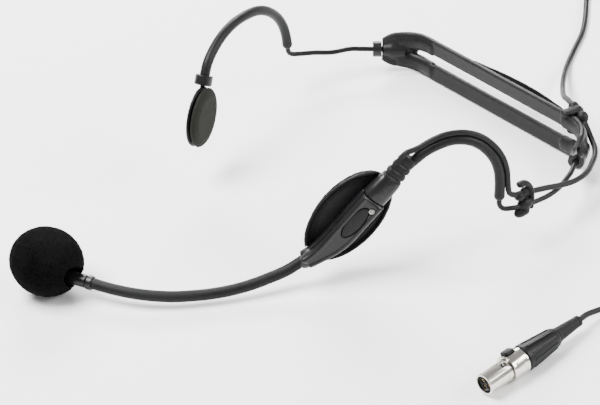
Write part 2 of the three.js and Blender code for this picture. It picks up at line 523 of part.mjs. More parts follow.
const CORD_OUT = [v(107.8, -34.7, 17.4), v(109.8, -29.2, 15.5), v(112.2, -23.6, 13), v(115.5, -17.9, 10.4),
  v(119.3, -12.3, 7.9),
  v(123.9, -5.9, 5.8), v(129, 0.4, 4.1), v(134.4, 6.6, 2.3), v(140, 12.1, TABLE_Z), v(148.4, 18.9, TABLE_Z),
  v(156.9, 25.6, TABLE_Z), v(165, 34.2, TABLE_Z), v(172.7, 43.7, TABLE_Z), v(177.3, 49.3, 1.3),
    v(181.9, 54.7, 1.6)];
const CORD_BACK = [v(204.2, 36.7, 7.4), v(199.6, 30.9, 5.2), v(194.6, 24.6, 3), v(188.8, 17.7, 1.6),
  v(181.8, 9.8, TABLE_Z),
  v(173.2, -0.9, TABLE_Z), v(164, -11.6, TABLE_Z), v(154.2, -21.8, TABLE_Z), v(144.4, -32.5, TABLE_Z),
  v(135.6, -44.6, TABLE_Z), v(127.2, -57.2, TABLE_Z), v(117.6, -69, TABLE_Z), v(106.8, -79.8, TABLE_Z),
  v(96.2, -90.8, TABLE_Z), v(86.6, -103, TABLE_Z), v(77.2, -115.3, TABLE_Z), v(66.4, -125.2, TABLE_Z),
    v(56, -130.7, 1.3),
  v(49, -132.2, 2.3), v(43, -132.9, 3.8), v(38.2, -133.6, 4.8)];

function makeCord(parent) {
  const plugEnd = v(PLUG_END + GAP, 0, 0).applyAxisAngle(Z, PLUG_HEADING).add(PLUG_FACE);
  piece(parent, "cord_out", tube(CORD_OUT, CABLE), "rubber");
  piece(parent, "cord_back", tube([...CORD_BACK, plugEnd], CABLE), "rubber");
  const width = (COIL_WIDE - 1) * COIL_PITCH + CABLE;
  const height = (COIL_HIGH - 1) * COIL_PITCH + CABLE;
  const [inner, outer] = [COIL_RADIUS - width / 2, COIL_RADIUS + width / 2];
  const section = [[inner, 0], [outer, 0], [outer, height], [inner, height], [inner, 0]];
  const base = COIL_CENTRE.clone().setZ(COIL_BOTTOM);
  piece(parent, "cord_coil", turned(section, base, Z, 40), "rubber");

  const tieAngle = degrees(50);
  const around = (grow) => block(width + 1.2 + 2 * grow, 5, height + 0.6 + 2 * grow,
    v(COIL_RADIUS - 0.1, 0, COIL_BOTTOM + height / 2));
  const band = cut(around(0.4), around(0).scale(1, 2, 1));
  piece(parent, "coil_tie", band.rotateZ(tieAngle).translate(COIL_CENTRE.x, COIL_CENTRE.y, 0), "satin");
}

// ---------------------------------------------------------------- assembly of the headset
const pod = standing(headset, v(-52.1, -52, 52), -SIDE_YAW, PAD_TILT);
const farPad = standing(headset, v(-58.8, 45.8, 55), Math.PI + SIDE_YAW, Math.PI - degrees(68));
const inFrame = (group, x, y, z) => v(x, y, z).applyMatrix4(group.matrix);

makeBand(headset);
makeHook(headset, "left", [inFrame(pod, 12, SLEEVE_Y, 0), inFrame(pod, 16, SLEEVE_Y, 0)], NEAR_WIRE,
  NEAR_HOOK);
makeHook(headset, "right", [inFrame(farPad, 5, 0, PAD_WIRE_Z), inFrame(farPad, 10, 0, PAD_WIRE_Z)],
  FAR_WIRE, FAR_HOOK);
makePod(pod);
makeNearPad(pod);
makeFarPad(farPad);
makeBoom(headset, pod);
makeClips(headset);
makeCable(headset, pod);

const model = new THREE.Group();
model.add(headset);
makeConnector(model);
makeCord(model);
export default model;
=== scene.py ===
"""Looks of the headset microphone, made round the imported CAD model. Metres, in the model's frame.

Routes and small shapes are written in millimetres and scaled by MM. Those of the headset itself are in
the frame of the headset as it is worn, which WORN turns into the table's frame.
"""

import json
import math

import bmesh
import bpy
from mathutils import Matrix, Quaternion, Vector, noise


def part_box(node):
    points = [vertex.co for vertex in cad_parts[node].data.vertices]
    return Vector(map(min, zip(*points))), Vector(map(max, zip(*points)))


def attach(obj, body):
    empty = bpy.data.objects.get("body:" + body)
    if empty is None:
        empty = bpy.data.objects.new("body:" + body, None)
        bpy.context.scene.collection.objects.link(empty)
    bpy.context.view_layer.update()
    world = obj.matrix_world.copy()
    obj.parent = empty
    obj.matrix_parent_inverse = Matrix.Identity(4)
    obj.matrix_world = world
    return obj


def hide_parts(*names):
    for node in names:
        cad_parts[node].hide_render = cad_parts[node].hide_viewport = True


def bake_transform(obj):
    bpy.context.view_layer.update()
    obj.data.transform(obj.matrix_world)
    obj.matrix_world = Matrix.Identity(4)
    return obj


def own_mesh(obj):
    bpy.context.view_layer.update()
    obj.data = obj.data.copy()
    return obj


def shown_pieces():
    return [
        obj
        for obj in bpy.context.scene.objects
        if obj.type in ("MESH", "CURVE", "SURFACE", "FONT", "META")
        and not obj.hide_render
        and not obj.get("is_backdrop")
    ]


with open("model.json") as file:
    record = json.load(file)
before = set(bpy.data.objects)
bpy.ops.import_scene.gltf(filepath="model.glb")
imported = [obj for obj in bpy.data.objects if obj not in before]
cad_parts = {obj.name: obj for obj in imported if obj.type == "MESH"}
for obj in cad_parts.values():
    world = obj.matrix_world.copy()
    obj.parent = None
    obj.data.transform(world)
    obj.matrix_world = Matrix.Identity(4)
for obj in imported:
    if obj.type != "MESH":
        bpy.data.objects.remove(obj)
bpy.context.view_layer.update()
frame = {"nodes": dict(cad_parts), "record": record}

MM = 0.001
BODY_OF = {node: body for body, nodes in frame["record"]["behaviour"]["bodies"].items() for node in nodes}
SLOT_OF = {part["node"]: part["material_slot"] for part in frame["record"]["subparts"]}

# The headset as it is worn, tipped onto the table.
WORN = (
    Matrix.Translation(Vector((39.389, -0.664, -36.474)) * MM)
    @ Matrix.Rotation(math.radians(-1.581), 4, "X")
    @ Matrix.Rotation(math.radians(9.447), 4, "Y")
)


# ---------------------------------------------------------------- camera, lights and floor
def add_camera():
    """The camera looks down at the headset from its left front side, a long way off."""
    azimuth, elevation, roll = math.radians(-28.38), math.radians(33.67), math.radians(-8.52)
    target = Vector((0.0373, 0.0641, -0.0450))
    back = Vector((
        math.sin(azimuth) * math.cos(elevation),
        -math.cos(azimuth) * math.cos(elevation),
        math.sin(elevation),
    ))
    distance = 1.36
    data = bpy.data.cameras.new("camera")
    data.lens = 200
    data.sensor_width = 36
    data.clip_start = 0.01
    camera = bpy.data.objects.new("camera", data)
    bpy.context.scene.collection.objects.link(camera)
    level = back.to_track_quat("Z", "Y")
    camera.rotation_mode = "QUATERNION"
    camera.rotation_quaternion = Quaternion(back, roll) @ level
    camera.location = target + back * distance
    bpy.context.scene.camera = camera


def add_light(name, place, aim, size, watts):
    data = bpy.data.lights.new(name, "AREA")
    data.shape = "RECTANGLE"
    data.size, data.size_y = size
    data.energy = watts
    light = bpy.data.objects.new(name, data)
    bpy.context.scene.collection.objects.link(light)
    light.location = place
    light.rotation_euler = (Vector(aim) - Vector(place)).to_track_quat("-Z", "Y").to_euler()


def add_studio():
    world = bpy.data.worlds.new("studio")
    bpy.context.scene.world = world
    world.use_nodes = True
    world.node_tree.nodes["Background"].inputs["Color"].default_value = (1, 1, 1, 1)
    world.node_tree.nodes["Background"].inputs["Strength"].default_value = 0.45
    add_light("key", (-0.35, 0.25, 0.95), (0.03, 0, 0), (0.7, 0.5), 36)
    add_light("fill", (0.7, -0.7, 0.6), (0.03, 0, 0), (0.8, 0.5), 20)
    add_light("rim", (0.45, 0.75, 0.5), (0.03, 0, 0), (0.6, 0.25), 16)

    bpy.ops.mesh.primitive_plane_add(size=12)
    floor = bpy.context.object
    floor.name = "floor"
    pale = bpy.data.materials.new("floor")
    pale.use_nodes = True
    shader = pale.node_tree.nodes["Principled BSDF"]
    shader.inputs["Base Color"].default_value = (0.93, 0.93, 0.93, 1)
    shader.inputs["Roughness"].default_value = 0.7
    floor.data.materials.append(pale)
    floor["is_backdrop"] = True


# ---------------------------------------------------------------- finishes
def finish(
    name, dark, light, rough, grain=700.0, bump=0.15, height=0.05,
    metal=0.0, coat=0.0, sheen=0.0, wear=60.0, shine=0.14,
):
    """A surface whose colour and roughness wander between two values, with a fine grain in relief."""
    made = bpy.data.materials.new(name)
    made.use_nodes = True
    nodes, links = made.node_tree.nodes, made.node_tree.links
    shader = nodes["Principled BSDF"]
    shader.inputs["Metallic"].default_value = metal
    shader.inputs["Coat Weight"].default_value = coat
    shader.inputs["Coat Roughness"].default_value = 0.25
    shader.inputs["Sheen Weight"].default_value = sheen
    shader.inputs["Specular IOR Level"].default_value = shine
    place = nodes.new("ShaderNodeTexCoord")

    def wander(scale, detail):
        texture = nodes.new("ShaderNodeTexNoise")
        texture.inputs["Scale"].default_value = scale
        texture.inputs["Detail"].default_value = detail
        links.new(place.outputs["Object"], texture.inputs["Vector"])
        return texture.outputs["Fac"]

    broad, fine = wander(wear, 5), wander(grain, 3)
    both = nodes.new("ShaderNodeMath")
    both.operation = "MULTIPLY_ADD"
    both.inputs[1].default_value = 0.45
    links.new(fine, both.inputs[0])
    half = nodes.new("ShaderNodeMath")
    half.operation = "MULTIPLY"
    half.inputs[1].default_value = 0.55
    links.new(broad, half.inputs[0])
    links.new(half.outputs[0], both.inputs[2])
    ramp = nodes.new("ShaderNodeValToRGB")
    ramp.color_ramp.elements[0].position = 0.36
    ramp.color_ramp.elements[1].position = 0.64
    ramp.color_ramp.elements[0].color = (*dark, 1)
    ramp.color_ramp.elements[1].color = (*light, 1)
    links.new(both.outputs[0], ramp.inputs["Fac"])
    links.new(ramp.outputs["Color"], shader.inputs["Base Color"])
    spread = nodes.new("ShaderNodeMapRange")
    spread.inputs["From Min"].default_value = 0.3
    spread.inputs["From Max"].default_value = 0.7
    spread.inputs["To Min"].default_value = rough[0]
    spread.inputs["To Max"].default_value = rough[1]
    links.new(broad, spread.inputs["Value"])
    links.new(spread.outputs["Result"], shader.inputs["Roughness"])
    relief = nodes.new("ShaderNodeBump")
    relief.inputs["Strength"].default_value = bump
    relief.inputs["Distance"].default_value = height * MM
    links.new(fine, relief.inputs["Height"])
    links.new(relief.outputs["Normal"], shader.inputs["Normal"])
    return made


def grey(value):
    return (value, value * 1.01, value * 1.03)


FINISHES = {
    "gloss_plastic": finish(
        "gloss_plastic", grey(0.004), grey(0.009), (0.26, 0.4),
        900, 0.1, 0.03, coat=0.25,
    ),
    "band_plastic": finish("band_plastic", grey(0.005), grey(0.011), (0.34, 0.48), 1200, 0.2, 0.04),
    "satin_plastic": finish("satin_plastic", grey(0.005), grey(0.01), (0.42, 0.52), 1500, 0.3, 0.04),
    "soft_rubber": finish("soft_rubber", grey(0.005), grey(0.01), (0.38, 0.52), 1100, 0.2, 0.04),
    "boom_rubber": finish("boom_rubber", grey(0.004), grey(0.009), (0.5, 0.64), 1300, 0.35, 0.05),
    "foam": finish(
        "foam", (0.001, 0.001, 0.001), (0.005, 0.0055, 0.005), (0.95, 1.0),
        1500, 0.8, 0.3, shine=0.03,
    ),
    "cushion_skin": finish(
        "cushion_skin", (0.006, 0.0062, 0.0045), (0.012, 0.0125, 0.0095), (0.7, 0.85),
        1600, 0.5, 0.06,
    ),
    "coated_wire": finish("coated_wire", grey(0.004), grey(0.009), (0.28, 0.4), 900, 0.12, 0.03),
    "cable_jacket": finish("cable_jacket", grey(0.006), grey(0.012), (0.36, 0.5), 1100, 0.2, 0.04),
    "tie_strap": finish("tie_strap", grey(0.008), grey(0.03), (0.8, 0.95), 2200, 0.9, 0.15, sheen=0.3),
    "plug_nickel": finish(
        "plug_nickel", (0.56, 0.53, 0.48), (0.74, 0.71, 0.66), (0.14, 0.26),
        1400, 0.08, 0.02, 1.0,
    ),
    "steel": finish("steel", (0.13, 0.128, 0.124), (0.22, 0.217, 0.21), (0.22, 0.38), 1600, 0.1, 0.02, 1.0),
    "capsule_nickel": finish(
        "capsule_nickel", (0.55, 0.53, 0.5), (0.7, 0.68, 0.65), (0.25, 0.4),
        1500, 0.1, 0.02, 1.0,
    ),
    "plug_plastic": finish("plug_plastic", grey(0.004), grey(0.009), (0.36, 0.5), 1700, 0.35, 0.05),
    "boot_rubber": finish("boot_rubber", grey(0.004), grey(0.009), (0.5, 0.66), 1300, 0.3, 0.05),
    "brass": finish("brass", (0.26, 0.19, 0.09), (0.4, 0.3, 0.15), (0.22, 0.36), 1500, 0.1, 0.02, 1.0),
    "board": finish("board", (0.015, 0.07, 0.03), (0.03, 0.11, 0.05), (0.35, 0.5), 1200, 0.15, 0.03),
}


# ---------------------------------------------------------------- making pieces
def smooth(mesh, angle=35):
    mesh.shade_smooth()
    mesh.set_sharp_from_angle(angle=math.radians(angle))


def new_piece(name, mesh, body, slot, replaces=()):
    piece = bpy.data.objects.new(name, mesh)
    bpy.context.scene.collection.objects.link(piece)
    mesh.materials.clear()
    mesh.materials.append(FINISHES[slot])
    if replaces:
        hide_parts(*replaces)
    if isinstance(body, str):
        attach(piece, body)
    else:
        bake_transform(piece)
    return piece


def worn(points):
    return [WORN @ (Vector(point) * MM) for point in points]


def table(points):
    return [Vector(point) * MM for point in points]


def spline(points, step=0.0015):
    """Evenly spaced points along a centripetal Catmull-Rom curve through the given ones."""
    ends = [points[0] * 2 - points[1], *points, points[-1] * 2 - points[-2]]
    dense = []
    for p0, p1, p2, p3 in zip(ends, ends[1:], ends[2:], ends[3:]):
        t0, t1, t2 = (max((b - a).length, 1e-6) ** 0.5 for a, b in ((p0, p1), (p1, p2), (p2, p3)))
        m1 = ((p1 - p0) / t0 - (p2 - p0) / (t0 + t1) + (p2 - p1) / t1) * t1
        m2 = ((p2 - p1) / t1 - (p3 - p1) / (t1 + t2) + (p3 - p2) / t2) * t1
        for i in range(24):
            t = i / 24
            dense.append(
                p1 * (2 * t**3 - 3 * t**2 + 1) + m1 * (t**3 - 2 * t**2 + t)
                + p2 * (3 * t**2 - 2 * t**3) + m2 * (t**3 - t**2)
            )
    dense.append(points[-1])
    return even(dense, step)


def even(points, step):
    """The same line as points that are all one step apart."""
    travelled = [0.0]
    for a, b in zip(points, points[1:]):
        travelled.append(travelled[-1] + (b - a).length)
    count = max(2, round(travelled[-1] / step))
    spaced, at = [], 0
    for i in range(count + 1):
        wanted = travelled[-1] * i / count
        while at < len(points) - 2 and travelled[at + 1] < wanted:
            at += 1
        length = travelled[at + 1] - travelled[at]
        spaced.append(points[at].lerp(points[at + 1], min(1, (wanted - travelled[at]) / max(length, 1e-9))))
    return spaced


def tube_mesh(name, line, radius, sides=20):
    """A closed round tube along a line. radius is a number, or a function of the distance from the start."""
    size = radius if callable(radius) else (lambda _: radius)
    bm = bmesh.new()
    normal = (line[1] - line[0]).orthogonal().normalized()
    rings, travelled = [], 0.0
    for i, point in enumerate(line):
        along = (line[min(i + 1, len(line) - 1)] - line[max(i - 1, 0)]).normalized()
        normal = (normal - along * normal.dot(along)).normalized()
        across = along.cross(normal)
        if i:
            travelled += (point - line[i - 1]).length
        r = size(travelled)
        turn = [2 * math.pi * k / sides for k in range(sides)]
        rings.append([bm.verts.new(point + (normal * math.cos(a) + across * math.sin(a)) * r) for a in turn])
    for a, b in zip(rings, rings[1:]):
        for k in range(sides):
            bm.faces.new((a[k], a[(k + 1) % sides], b[(k + 1) % sides], b[k]))
    bm.faces.new(reversed(rings[0]))
    bm.faces.new(rings[-1])
    mesh = bpy.data.meshes.new(name)
    bm.to_mesh(mesh)
    bm.free()
    smooth(mesh, 60)
    return mesh


def copied(nodes):
    """The welded meshes of some CAD nodes, as one bmesh."""
    bm = bmesh.new()
    for node in nodes:
        source = frame["nodes"][node]
        mesh = source.data.copy()
        mesh.transform(source.matrix_world)
        bm.from_mesh(mesh)
    bmesh.ops.remove_doubles(bm, verts=bm.verts, dist=0.002 * MM)
    return bm


def unit_sphere():
    bm = bmesh.new()
    bmesh.ops.create_uvsphere(bm, u_segments=20, v_segments=12, radius=1)
    mesh = bpy.data.meshes.new("unit_sphere")
    bm.to_mesh(mesh)
    bm.free()
    return mesh


UNIT_SPHERE = unit_sphere()


def ball(bm, centre, size, turn=Matrix.Identity(3)):
    """Adds an ellipsoid, with its half sizes along the axes of turn."""
    mesh = UNIT_SPHERE.copy()
    mesh.transform(Matrix.Translation(centre) @ turn.to_4x4() @ Matrix.Diagonal((*size, 1)))
    bm.from_mesh(mesh)
    bpy.data.meshes.remove(mesh)


def sculpt(name, bm, voxel, rounds, ripple=0.0, strength=0.5):
    """One closed surface round everything in bm, with its corners rounded, and rippled if asked."""
    rough_mesh = bpy.data.meshes.new(name)
    bm.to_mesh(rough_mesh)
    bm.free()
    shape = bpy.data.objects.new(name + "_shape", rough_mesh)
    bpy.context.scene.collection.objects.link(shape)
    remesh = shape.modifiers.new("remesh", "REMESH")
    remesh.mode = "VOXEL"
    remesh.voxel_size = voxel * MM
    relax = shape.modifiers.new("relax", "SMOOTH")
    relax.factor = strength
    relax.iterations = rounds
    bpy.context.view_layer.update()
    seen = shape.evaluated_get(bpy.context.evaluated_depsgraph_get())
    mesh = bpy.data.meshes.new_from_object(seen)
    bpy.data.objects.remove(shape)
    if ripple:
        roughen(mesh, ripple)
    mesh.shade_smooth()
    return mesh


def roughen(mesh, ripple):
    """Moves the surface in and out. The normals are read first, because each move would renew them all."""
    pushes = [vertex.normal * ripple * MM * foam_height(vertex.co) for vertex in mesh.vertices]
    for vertex, push in zip(mesh.vertices, pushes):
        vertex.co += push


def foam_height(place):
    """Open cells: pits of about 0.8 mm between soft ridges, with a broader unevenness."""
    cells = noise.noise(place * 1900)
    uneven = noise.noise(place * 420 + Vector((3, 1, 7)))
    return cells + 0.6 * uneven


def refine(node, bevel=0.12):
    """Stands for a machined or moulded CAD node with the same shape, its edges slightly rounded."""
    bm = copied([node])
    mesh = bpy.data.meshes.new(node + "_fine")
    bmesh.ops.dissolve_limit(bm, angle_limit=math.radians(1), verts=bm.verts, edges=bm.edges)
    bm.to_mesh(mesh)
    bm.free()
    smooth(mesh, 34)
    piece = new_piece(node + "_fine", mesh, BODY_OF[node], SLOT_OF[node], [node])
    edge = piece.modifiers.new("edges", "BEVEL")
    edge.width = bevel * MM
    edge.segments = 3
    edge.limit_method = "ANGLE"
    edge.angle_limit = math.radians(40)
    edge.harden_normals = True
    return piece


# ---------------------------------------------------------------- free cord
CABLE = 2.2 * MM
TABLE_Z = 1.15
CORD_OUT = table([
    (107.1, -35.5, 17.58), (109.8, -29.2, 15.5), (112.2, -23.6, 13), (115.5, -17.9, 10.4),
    (119.3, -12.3, 7.9),
    (123.9, -5.9, 5.8), (129, 0.4, 4.1), (134.4, 6.6, 2.3), (140, 12.1, TABLE_Z), (148.4, 18.9, TABLE_Z),
    (156.9, 25.6, TABLE_Z), (165, 34.2, TABLE_Z), (172.7, 43.7, TABLE_Z), (177.3, 49.3, 1.3),
    (181.9, 54.7, 1.6),
])
CORD_BACK = table([
    (204.2, 36.7, 7.4), (199.6, 30.9, 5.2), (194.6, 24.6, 3), (188.8, 17.7, 1.6), (181.8, 9.8, TABLE_Z),
    (173.2, -0.9, TABLE_Z), (164, -11.6, TABLE_Z), (154.2, -21.8, TABLE_Z), (144.4, -32.5, TABLE_Z),
    (135.6, -44.6, TABLE_Z), (127.2, -57.2, TABLE_Z), (117.6, -69, TABLE_Z), (106.8, -79.8, TABLE_Z),
    (96.2, -90.8, TABLE_Z), (86.6, -103, TABLE_Z), (77.2, -115.3, TABLE_Z), (66.4, -125.2, TABLE_Z),
    (56, -130.7, 1.3), (49, -132.2, 2.3), (43, -132.9, 3.8), (38.2, -133.6, 4.8), (34.2, -134.85, 5.1),
])
COIL_CENTRE = Vector((198.5, 52.4, 0)) * MM
COIL_PITCH = 2.25
COIL_LOWEST = 1.85
COIL_RINGS = [14.25, 12.0, 9.75]
COIL_START = math.radians(140.2)
COIL_TURN = math.radians(11 * 360 + 178.5)
CHANGE = 1 / 6  # the share of each turn in which the cord moves on to its next place


def coil_places():
    """Radius and height of each turn in order: inwards, up, outwards, up."""
    places = []
    for layer in range(4):
        rings = COIL_RINGS if layer % 2 == 0 else COIL_RINGS[::-1]
        places += [(radius, COIL_LOWEST + COIL_PITCH * layer) for radius in rings]
    return places


def coil_line():
    places = coil_places()
    steps = 720
    line = []
    for i in range(steps + 1):
        turned = COIL_TURN * i / steps
        turn = min(int(turned / (2 * math.pi)), len(places) - 1)
        share = turned / (2 * math.pi) - turn
        (r0, z0), (r1, z1) = places[turn], places[min(turn + 1, len(places) - 1)]
        t = max(0.0, (share - 1 + CHANGE) / CHANGE)
        eased = t * t * (3 - 2 * t)
        outwards = 0 if z1 == z0 else math.copysign(0.95, r0 - 12) * math.sin(math.pi * t)
        radius = r0 + (r1 - r0) * eased + outwards
        angle = COIL_START - turned
        place = Vector((radius * math.cos(angle), radius * math.sin(angle), z0 + (z1 - z0) * eased))
        line.append(COIL_CENTRE + place * MM)
    return line


def add_cord():
    route = spline(CORD_OUT + coil_line()[::8] + CORD_BACK, 0.002)
    data = bpy.data.curves.new("cord", "CURVE")
    data.dimensions = "3D"
    data.bevel_depth = CABLE / 2
    data.bevel_resolution = 5
    data.use_fill_caps = True
    line = data.splines.new("POLY")
    line.points.add(len(route) - 1)
    for point, place in zip(line.points, route):
        point.co = (*place, 1)
    line.use_smooth = True
    cord = bpy.data.objects.new("cord", data)
    bpy.context.scene.collection.objects.link(cord)
    data.materials.append(FINISHES["cable_jacket"])
    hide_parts("cord_out", "cord_coil", "cord_back")
    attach(cord, "band")
    length = sum((b - a).length for a, b in zip(route, route[1:]))
    print("cord length", round(length, 4))
    return cord, route[0], length


# ---------------------------------------------------------------- routes on the headset
def half_width(x):
    return 75 + 0.36 * x - 0.0019 * x * x


def beside_head(side, route):
    return [Vector((x, side * half_width(x), z)) for x, z in route]


FAR_HOOK = beside_head(1, [
    (-54.1, 70.6), (-52.6, 73.8), (-49.6, 77), (-43.5, 80.8), (-35, 83.2), (-24, 83.1), (-17.5, 81.6),
    (-11.5, 78.4), (-6.5, 73.9), (-3.3, 69), (-1.5, 64), (-0.6, 59),
])
NEAR_HOOK = beside_head(-1, [
    (-38.3, 67.6), (-36, 70.8), (-33, 74), (-28, 78.4), (-21, 81.6), (-17.5, 81.9), (-13.3, 81),
    (-9.3, 78.4), (-5.2, 73.2), (-3.4, 68.3), (-2.8, 63.5), (-2.8, 56),
])
FAR_TAIL = [(0, 75.1, 56.6), (1.4, 75.3, 55.2), (4, 74.6, 54.8), (11, 72.6, 54.4), (17.5, 69.8, 54)]
NEAR_TAIL = [
    (-2.6, -74, 53.4), (-1.4, -74.5, 51.9), (1.5, -75.6, 51.6), (7, -76.3, 51.6), (13, -76.1, 51.7),
    (19, -75.3, 52), (25, -73.3, 52.5), (30, -70.4, 53),
]
CABLE_SPAN = [
    (2.9, -75.8, 56.8), (7.2, -75.4, 56.2), (12, -75.2, 55.8), (18, -74.9, 55.2), (24, -74.8, 54.5),
    (30, -74.2, 53.9), (36, -72.4, 53.6), (41.5, -69.4, 53.5), (46.4, -65.3, 53.5),
]

BAND = (
    Matrix.Translation((50.4, 1.4, 54.3))
    @ Matrix.Rotation(math.radians(4.8), 4, "Z")
    @ Matrix.Rotation(math.radians(0.8), 4, "X")
)


def on_band(x, y, z=0.0):
    return BAND @ Vector((x, y, z))


def hub(side, along):
    """A point on the axis of a hub, at a distance from its mouth."""
    return on_band(-13.6 + 0.8 * along, side * (61.5 - 0.6 * along))


def standing(place, yaw, tilt):
    """The frame of a piece that stands on the side of the head: X along it, Z outwards."""
    return (
        Matrix.Translation(place) @ Matrix.Rotation(yaw, 4, "Z")
        @ Matrix.Rotation(math.pi / 2, 4, "X") @ Matrix.Rotation(tilt, 4, "Z")
    )


SIDE_YAW = math.radians(29.5)
POD = standing((-52.1, -52, 52), -SIDE_YAW, math.radians(51))
FAR_PAD = standing((-58.8, 45.8, 55), math.pi + SIDE_YAW, math.pi - math.radians(68))
SLEEVE_Y, RELIEF_Y = -2.5, 2.2
BOOM_ROOT = [(-15, 0.8, 0), (-20, 2.1, 0), (-24.5, 3.9, 0)]
BOOM_FREE = [
    (-74, -40.4, 31.6), (-79.8, -38.4, 29.4), (-86, -36, 27.3), (-92.5, -33.2, 25.6), (-99.5, -29.4, 24.2),
    (-105.5, -25.5, 23.3), (-111, -21.6, 22.7), (-117, -16.2, 22.3), (-122.2, -10.2, 22.1), (-127, -3, 22),
    (-131, 4, 22.2),
]
CAPSULE_AIM = Vector((-0.53, 0.845, 0.06)).normalized()


# The liner lies against the upper strap at both ends and bows away behind it in between.
LEAF = [
    (1.5, 16, 5.6), (2.1, 11, 5.6), (3.2, 2, 5.6), (3.9, -9, 5.6), (3.6, -20, 5.6), (2.5, -30, 5.6),
    (1.6, -36, 5.6),
]
LEAF_SIZE = (0.55, 0.9, 2.7)
# Swellings of each hub round its bore: distance from the mouth, and half sizes.
HUB_SWELLINGS = ((9.5, (6.3, 2.6, 4.6)), (13.5, (5.2, 1.7, 4.6)), (7.6, (3.9, 3.4, 3.4)))

# The rear clip holds the cable behind the upper strap, crosses over it, and hooks in front and below.
REAR_CLIP = [
    ((3.5, -45.6, 7.4), (2.3, 2.6, 2.6)), ((3.7, -42.5, 8.7), (2.3, 2.6, 2.4)),
    ((3.9, -40, 9.7), (2.1, 2.2, 2.0)), ((1.4, -42, 9.6), (2.6, 2.4, 1.0)),
    ((-0.6, -42, 9.6), (2.2, 2.4, 0.95)), ((-2.2, -41.6, 9.0), (1.2, 2.3, 1.4)),
    ((3.2, -43, 4.6), (0.9, 2.4, 2.6)), ((2.4, -43, 1.6), (1.4, 2.3, 0.9)),
    ((0.6, -43, 1.2), (1.6, 2.2, 0.8)),
]
# The left clip: a hooked arm, and rounded lumps for its body and the knob below. From the clip's middle.
LEFT_CLIP_AT = Vector((7.2, -76, 54))
LEFT_CLIP_HOOK = [
    (3, 0.2, -3.6), (3.2, 0.2, 0), (2.8, 0.2, 3.4), (1.6, 0.2, 5.6), (-0.4, 0, 6.8), (-2.4, 0, 6.6),
]
LEFT_CLIP_LUMPS = [
    ((0.4, 0, -1.9), (3.5, 2.2, 2.3)), ((-2.2, 0.2, 1.8), (2.1, 2, 1.9)), ((0.6, 0.8, 2.2), (2.6, 1.3, 2.4)),
    ((-1.6, -0.2, -4.9), (2.9, 2.1, 1.9)), ((-0.4, -0.5, -4.2), (2.4, 2.1, 2.1)),
]
RECESS = 4.3 * MM  # radius of the windscreen's recess
RECESS_DEPTH = 4.4 * MM  # behind the capsule tube's middle

# The connector's frame: X from the socket face to the cord, Z through the latch button.
PLUG = (
    Matrix.Translation((-13, -142.5, 5.1)) @ Matrix.Rotation(math.radians(9.2), 4, "Z")
    @ Matrix.Rotation(math.radians(-24), 4, "X")
)
GRIP_RIBS = 10


def joint_place(name):
    joint = next(j for j in frame["record"]["behaviour"]["joints"] if j["name"] == name)
    return Vector(joint["pos_m"])


def add_wires_and_sleeves():
    near_root = [POD @ Vector((12, SLEEVE_Y, 0)), POD @ Vector((16, SLEEVE_Y, 0))]
    far_root = [FAR_PAD @ Vector((5, 0, 1.5)), FAR_PAD @ Vector((10, 0, 1.5))]
    in_collar = FAR_PAD @ Vector((13.5, 0, 1.5))
    sides = [
        ("left", near_root, NEAR_HOOK, NEAR_TAIL, [hub(-1, d) for d in (-9, -4, 0, 8)], []),
        ("right", far_root, FAR_HOOK, FAR_TAIL, [hub(1, d) for d in (-9, -4, 0, 11)], [in_collar]),
    ]
    for side, root, hook, tail, end, start in sides:
        wire = spline(worn([*root, *hook, *tail, *end]), 0.0012)
        mesh = tube_mesh(side + "_wire_round", wire, 1.0 * MM, 18)
        new_piece(side + "_wire_round", mesh, side + "_side", "coated_wire", [side + "_wire"])
        sleeve = spline(worn([*start, *hook]), 0.0008)
        length = sum((b - a).length for a, b in zip(sleeve, sleeve[1:]))

        def swelling(along, length=length):
            """Rounded ends, and a slightly thicker lip behind each of them."""
            inset = min(along, length - along) / MM
            rounded = math.sqrt(max(0.0, 1 - max(0.0, 1 - inset / 0.9) ** 2))
            return (1.5 + 0.47 * rounded + 0.1 * math.exp(-((inset - 1.6) / 0.8) ** 2)) * MM

        mesh = tube_mesh(side + "_sleeve_soft", sleeve, swelling, 28)
        new_piece(side + "_sleeve_soft", mesh, side + "_side", "soft_rubber", [side + "_sleeve"])


def cable_over_hook():
    """The cable lies on the outer side of the hook's bend, clear of the sleeve."""
    curve = spline(NEAR_HOOK, 0.2)
    beside = []
    for i in range(9):
        at = round((0.22 + 0.085 * i) * (len(curve) - 1))
        along = (curve[at + 1] - curve[at - 1]).normalized()
        outwards = Vector((-(0.36 - 0.0038 * curve[at].x), -1, 0)).normalized()
        beside.append(curve[at] - along.cross(outwards).normalized() * 3.0 + outwards * 0.3)
    inside = [POD @ Vector((x, RELIEF_Y, 0)) for x in (9.5, 16, 21, 26, 30, 32)]
    return [*inside, *beside, (0.4, -75.7, 58.4), (2.4, -75.9, 57.05)]


def add_cable():
    last = [
        (50.9, -61.2, 53.8), (53.9, -57.2, 54.5), on_band(1.2, -53.7, 2.3), on_band(2.7, -49.2, 4.8),
        on_band(3.4, -45.6, 7.4), on_band(3.8, -42, 9), on_band(4.4, -38.2, 9.7),
    ]
    route = worn([*cable_over_hook(), *CABLE_SPAN[1:], *last]) + [CORD_OUT[0]]
    mesh = tube_mesh("headset_cable", spline(route, 0.0012), CABLE / 2, 18)
    start, end = worn([CABLE_SPAN[2], (50.9, -61.2, 53.8)])
    body = ("left_side", "band", start, end)
    nodes = ["cable_over_ear", "cable_to_band", "cable_on_band"]
    new_piece("headset_cable", mesh, body, "cable_jacket", nodes)


